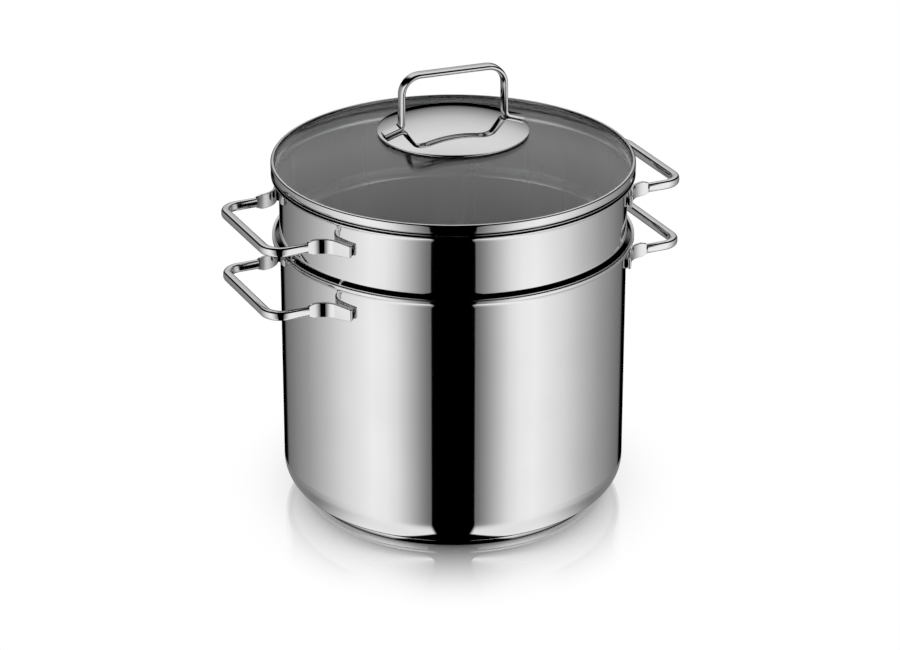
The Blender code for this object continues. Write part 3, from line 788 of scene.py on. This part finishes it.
def punchHoles(shell, bm):
    mesh = bpy.data.meshes.new("insert_drill")
    bm.to_mesh(mesh)
    bm.free()
    drills = bpy.data.objects.new("insert_drill", mesh)
    bpy.context.scene.collection.objects.link(drills)
    punch = shell.modifiers.new("holes", "BOOLEAN")
    punch.operation = "DIFFERENCE"
    punch.solver = "EXACT"
    punch.object = drills
    punched = bpy.data.meshes.new_from_object(shell.evaluated_get(bpy.context.evaluated_depsgraph_get()))
    shell.modifiers.clear()
    shell.data = punched
    bpy.data.objects.remove(drills)
    punched.shade_smooth()
    punched.set_sharp_from_angle(angle=radians(crispAngle))


def makeInsert(size):
    low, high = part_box("insert_body")
    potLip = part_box("pot_body")[1].z
    bm = turnOutline(wallSection(insertOutline(size), size["wall"], hem=insertHem), closed=False)
    paintInside(bm, high.z - rimRise(size["wall"]), insideFace)
    for face in bm.faces:
        if face.calc_center_median().z < potLip - size["satinDrop"]:
            face.material_index = satinIndex
    shell = finishPiece("insert_shell", bm, vesselSteels, "insert", ["insert_body"])
    punchHoles(shell, makeDrills(holes, low.z, potLip))


makeInsert(insertSize)
print("insert done")


# Lid

lidSize = {
    "side": 0.8 * mm,  # band's metal outside the glass
    "gap": 0.3 * mm,
    "lipReach": 1.1 * mm,
    # the band's section, in heights above the insert's lip and distances out from its wall
    "foot": 2.3 * mm,
    "coneTop": (3.15 * mm, 2.1 * mm),
    "coneFoot": (4.7 * mm, -0.05 * mm),
    "skirtOut": 2.6 * mm,
    "skirtLow": -1.0 * mm,
    "skirtIn": 0.9 * mm,
    "seatOut": 3.1 * mm,
    "seatHigh": 2.55 * mm,
    "seatEdge": 3.7 * mm,
    # its corners' radii, from the lip's inner edge out, down and round
    "bandRounds": (0.35 * mm, 1.5 * mm, 0.3 * mm, 0.1 * mm, 0.25 * mm, 0.2 * mm, 0.3 * mm, 0.2 * mm,
                   0.1 * mm, 0.1 * mm, 0.2 * mm),
    "glassEdgeHeight": 6.1 * mm,  # top of the glass at its edge, above the insert's lip
    "glassRise": 24.7 * mm,  # from there to the middle
    "glassThickness": 4.0 * mm,
    "glassFlat": 3.2 * mm,
    "glassRound": 1.9 * mm,  # ground edge
    "glassHole": 5.5 * mm,
}

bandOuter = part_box("lid_band")[1].y
glassEdge = bandOuter - lidSize["side"] - lidSize["gap"]
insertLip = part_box("insert_body")[1].z
glassApex = insertLip + lidSize["glassEdgeHeight"] + lidSize["glassRise"]
glassSphere = (glassEdge**2 + lidSize["glassRise"]**2) / (2 * lidSize["glassRise"])
glassRings = 40


def glassTop(radius):
    return glassApex - glassSphere + sqrt(glassSphere**2 - radius**2)


def glassBottom(radius):
    inner = glassSphere - lidSize["glassThickness"]
    return glassApex - glassSphere + sqrt(inner**2 - radius**2)


def makeGlass(size):
    inner = glassEdge - size["glassFlat"]
    width = inner - size["glassHole"]
    radii = [size["glassHole"] + width * ring / glassRings for ring in range(glassRings + 1)]
    top = (glassEdge, glassTop(glassEdge))
    bottom = (glassEdge, glassBottom(glassEdge))
    section = [(radius, glassTop(radius)) for radius in radii]
    section += roundCorner(section[-1], top, bottom, size["glassRound"], steps=8)
    section += roundCorner(top, bottom, (inner, glassBottom(inner)), size["glassRound"], steps=8)
    section += [(radius, glassBottom(radius)) for radius in reversed(radii)]
    bm = turnOutline(section, closed=True)
    finishPiece("lid_dome", bm, [temperedGlass], "lid", ["lid_glass"])


makeGlass(lidSize)


def makeBand(size):
    wall = rim["wallRadius"]
    glassWall = glassEdge + size["gap"]
    lipInner = glassEdge - size["lipReach"]
    lipLow = glassTop(lipInner) + size["gap"]
    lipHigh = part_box("lid_band")[1].z
    skirtLow = insertLip + size["skirtLow"]
    corners = [
        (lipInner, lipHigh),
        (bandOuter, lipHigh),
        (bandOuter, insertLip + size["foot"]),
        (wall + size["coneTop"][0], insertLip + size["coneTop"][1]),
        (wall + size["coneFoot"][0], insertLip + size["coneFoot"][1]),
        (wall + size["skirtOut"], skirtLow),
        (wall + size["skirtIn"], skirtLow),
        (wall + size["seatOut"], insertLip + size["seatHigh"]),
        (glassWall, insertLip + size["seatEdge"]),
        (glassWall, lipLow),
        (lipInner, lipLow),
    ]
    section = []
    for index, radius in enumerate(size["bandRounds"]):
        after = corners[(index + 1) % len(corners)]
        section += roundCorner(corners[index - 1], corners[index], after, radius)
    bm = turnOutline(section, closed=True)
    finishPiece("lid_rim_band", bm, [turnedMirror], "lid", ["lid_band"])


makeBand(lidSize)

discSize = {
    "radius": 52.5 * mm,
    "curve": 140.0 * mm,
    "wall": 1.0 * mm,
}


def makeDisc(size):
    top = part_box("lid_disc")[1].z
    half = asin(size["radius"] / size["curve"])
    centre = (0.0, top - size["curve"])
    outline = arcPoints(centre, size["curve"], 90 - degrees(half), 90, steps=32)
    outline[-1] = (0.0, top)  # exactly on the axis
    bm = turnOutline(wallSection(outline, -size["wall"]), closed=False)
    finishPiece("lid_handle_disc", bm, [turnedMirror], "lid", ["lid_disc"])


makeDisc(discSize)
print("lid glass, band and disc done")


# Bent bars: a rounded section is carried from station to station


def sectionSpots(station, segments):
    # corners of a rounded rectangle round the station's spot
    spot, across, upward, width, height, edge = station
    spots = []
    for side, level, start in ((1, 1, 0), (-1, 1, 90), (-1, -1, 180), (1, -1, 270)):
        for x, y in arcPoints((0, 0), 1, start, start + 90, segments):
            x = side * (width / 2 - edge[0]) + x * edge[0]
            y = level * (height / 2 - edge[1]) + y * edge[1]
            spots.append(spot + across * x + upward * y)
    return spots


def sweepBar(stations, segments=8):
    # a station is its spot, the directions across and up, the width and height, and the edges' radii
    bm = bmesh.new()
    before = None
    for station in stations:
        ring = [bm.verts.new(spot) for spot in sectionSpots(station, segments)]
        loop = [bm.edges.new((ring[index - 1], ring[index])) for index in range(len(ring))]
        if before:
            bmesh.ops.bridge_loops(bm, edges=before + loop)
        if station in (stations[0], stations[-1]):
            bm.faces.new(ring)
        before = loop
    bmesh.ops.recalc_face_normals(bm, faces=bm.faces)
    return bm


def bendStations(before, corner, after, radius, steps, facing):
    # spots round a bend, each with the facing direction turned along
    back = (before - corner).normalized()
    ahead = (after - corner).normalized()
    half = back.angle(ahead) / 2
    reach = radius * cos(half) / sin(half)
    middle = corner + (back + ahead).normalized() * radius / sin(half)
    spoke = corner + back * reach - middle
    hinge = (-back).cross(ahead).normalized()
    spots = []
    for step in range(steps + 1):
        turn = Matrix.Rotation((pi - 2 * half) * step / steps, 3, hinge)
        spots.append((middle + turn @ spoke, turn @ facing, step / steps))
    return spots


def mirrorStations(stations, axis):
    # the other half of a bar, which is the same on both sides of its middle
    flip = Vector([-1 if index == axis else 1 for index in range(3)])
    far = [(spot * flip, across * flip, upward * flip, *sizes)
           for spot, across, upward, *sizes in reversed(stations)]
    return stations + far


sideHandle = {
    "reach": 38.0 * mm,
    "halfSpan": 47.8 * mm,
    "corner": 15.0 * mm,
    "width": 5.0 * mm,
    "gripWidth": 6.4 * mm,
    "height": 6.6 * mm,
    "edge": (2.2 * mm, 2.5 * mm),  # sideways and upwards
    "strapEdge": (0.7 * mm, 0.7 * mm),
    "strapStart": 7.7 * mm,  # out from the wall
    "strapTaper": 0.6 * mm,
    "strapThickness": 2.2 * mm,
    "strapHeights": (8.2 * mm, 10.6 * mm, 8.6 * mm, 6.4 * mm),  # start, bend, end, tip
    "strapTurn": 29,  # degrees round the pot from the middle of the handle to the weld
    "standoff": 1.6 * mm,  # between wall and strap
    "strapReach": 5.6 * mm,  # from the weld to the tip, along the wall
    "strapBend": 15.0 * mm,
    "padReach": (5.1 * mm, 4.4 * mm, -7.5 * mm),  # tip, shoulder and far end along the wall
    "padHeights": (5.4 * mm, 7.6 * mm, 9.4 * mm),
    "padSink": 0.3 * mm,
    "padGap": 0.05 * mm,
    "padEdge": (0.4 * mm, 0.4 * mm),
    "noseTurns": (75, 60, 40, 20, 0),  # degrees round the strap's rounded tip
    "noseEdge": 0.4,  # its edges are rounded by at most this share of its width
}


def sideHandleStations(size):
    up = Vector((0, 0, 1))
    turn = radians(size["strapTurn"])
    weldOut = Vector((cos(turn), sin(turn), 0))
    weldAlong = Vector((-sin(turn), cos(turn), 0))
    armOut = Vector((0, 1, 0))
    thick = size["strapThickness"]
    startHigh, bendHigh, endHigh, tipHigh = size["strapHeights"]
    strapMiddle = rim["wallRadius"] + size["standoff"] + thick / 2
    arm = size["halfSpan"] - size["width"] / 2
    elbow = Vector(((strapMiddle - arm * sin(turn)) / cos(turn), arm, 0))
    tip = weldOut * strapMiddle + weldAlong * size["strapReach"]
    strapEnd = Vector((rim["wallRadius"] + size["strapStart"], arm, 0))
    barStart = Vector((strapEnd.x + size["strapTaper"], arm, 0))
    grip = rim["wallRadius"] + size["reach"] - size["gripWidth"] / 2
    strapEdge = size["strapEdge"]
    bar = (size["width"], size["height"], size["edge"])
    nose = thick / 2
    stations = []
    for turned in size["noseTurns"]:
        share = sin(radians(turned))
        spot = tip + weldAlong * nose * (share - 1)
        tall = endHigh + (tipHigh - endHigh) * share**2
        wide = thick * cos(radians(turned))
        edge = (min(strapEdge[0], wide * size["noseEdge"]), strapEdge[1])
        stations.append((spot, weldOut, up, wide, tall, edge))
    for spot, facing, _ in bendStations(tip, elbow, strapEnd, size["strapBend"], 8, weldOut):
        stations.append((spot, facing, up, thick, bendHigh, strapEdge))
    stations.append((strapEnd, armOut, up, thick, startHigh, strapEdge))
    stations.append((barStart, armOut, up, *bar))
    corner = Vector((grip, arm, 0))
    middle = Vector((grip, 0, 0))
    bend = size["corner"] - size["width"] / 2
    for spot, facing, share in bendStations(barStart, corner, middle, bend, 16, armOut):
        width = size["width"] + (size["gripWidth"] - size["width"]) * share
        stations.append((spot, facing, up, width, size["height"], size["edge"]))
    return mirrorStations(stations, 1)


def makePad(size, turn, sense, height):
    # fills the space between the wall and the welded part of the strap
    out = Vector((cos(turn), sin(turn), 0))
    along = Vector((-sin(turn), cos(turn), 0)) * sense
    depth = size["standoff"] + size["padSink"] - size["padGap"]
    middle = rim["wallRadius"] - size["padSink"] + depth / 2
    stations = []
    for reach, tall in zip(size["padReach"], size["padHeights"]):
        spot = out * middle + along * reach
        spot.z = height
        stations.append((spot, out, Vector((0, 0, 1)), depth, tall, size["padEdge"]))
    return sweepBar(stations, segments=3)


def makeSideHandles(size):
    stations = sideHandleStations(size)
    for body in ("pot", "insert"):
        for side, turn, front in (("right", 0.0, -1), ("left", pi, 1)):
            node = f"{body}_handle_{side}"
            low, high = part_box(node)
            middle = (low.z + high.z) / 2
            bm = sweepBar(stations)
            place = Matrix.Translation((0, 0, middle)) @ Matrix.Rotation(turn, 4, "Z")
            bmesh.ops.transform(bm, matrix=place, verts=bm.verts)
            finishPiece(f"{node}_bar", bm, [barMirror], body, [node], barCrispAngle)
            for end, sense in (("front", front), ("rear", -front)):
                pad = makePad(size, turn + sense * radians(size["strapTurn"]), sense, middle)
                finishPiece(f"{node}_{end}_weld", pad, [barMirror], body,
                            [f"{node}_{end}_pad"])


makeSideHandles(sideHandle)

lidHandle = {
    "turn": -4.5,  # degrees round from the line of the side handles
    "gripHeight": 34.2 * mm,
    "halfSpan": 39.3 * mm,
    "width": 9.2 * mm,
    "thickness": 3.9 * mm,
    "corner": 15.0 * mm,
    "edge": (3.2 * mm, 1.9 * mm),  # sideways and upwards
    "footInset": 1.9 * mm,
    "footThickness": 2.5 * mm,
    "footEdge": (0.9 * mm, 0.9 * mm),
    "footBend": 4.0 * mm,
    "gap": 0.3 * mm,  # between foot and disc
}


def lidHandleStations(size):
    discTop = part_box("lid_disc")[1].z
    sphere = discSize["curve"]

    def discHeight(radius):
        return discTop - sphere + sqrt(sphere**2 - radius**2)

    depth = Vector((0, 1, 0))
    leg = size["halfSpan"] - size["thickness"] / 2
    footEnd = discSize["radius"] - size["footInset"]
    lean = asin((leg + footEnd) / 2 / sphere)
    footOut = Vector((sin(lean), 0, cos(lean)))
    lift = footOut * (size["gap"] + size["footThickness"] / 2)
    tip = Vector((footEnd, 0, discHeight(footEnd))) + lift
    heel = Vector((leg, 0, discHeight(leg))) + lift
    grip = discTop + size["gripHeight"] - size["thickness"] / 2
    corner = Vector((leg, 0, grip))
    stations = [(tip, depth, footOut, size["width"], size["footThickness"], size["footEdge"])]
    for spot, facing, share in bendStations(tip, heel, corner, size["footBend"], 10, footOut):
        thickness = size["footThickness"] + (size["thickness"] - size["footThickness"]) * share
        edge = [foot + (bar - foot) * share for foot, bar in zip(size["footEdge"], size["edge"])]
        stations.append((spot, depth, facing, size["width"], thickness, edge))
    bend = size["corner"] - size["thickness"] / 2
    for spot, facing, _ in bendStations(heel, corner, Vector((0, 0, grip)), bend, 16, Vector((1, 0, 0))):
        stations.append((spot, depth, facing, size["width"], size["thickness"], size["edge"]))
    return mirrorStations(stations, 0)


def makeLidHandle(size):
    bm = sweepBar(lidHandleStations(size))
    bmesh.ops.rotate(bm, matrix=Matrix.Rotation(radians(size["turn"]), 3, "Z"), verts=bm.verts)
    finishPiece("lid_grip", bm, [barMirror], "lid", ["lid_handle"], barCrispAngle)


makeLidHandle(lidHandle)
print("handles done")


# Hidden pieces keep their solids and get a finish

finishes = {
    "pot_base_core": rolledAluminium,
    "lid_disc_gasket": silicone,
    "lid_upper_seal": silicone,
    "lid_sleeve": silicone,
    "lid_lower_seal": silicone,
    "lid_stud": satinSteel,
    "lid_washer": satinSteel,
    "lid_screw": satinSteel,
}

for node, material in finishes.items():
    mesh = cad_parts[node].data
    mesh.materials.clear()
    mesh.materials.append(material)

view = bpy.context.scene.view_settings
view.view_transform = "Standard"

print("pieces done")
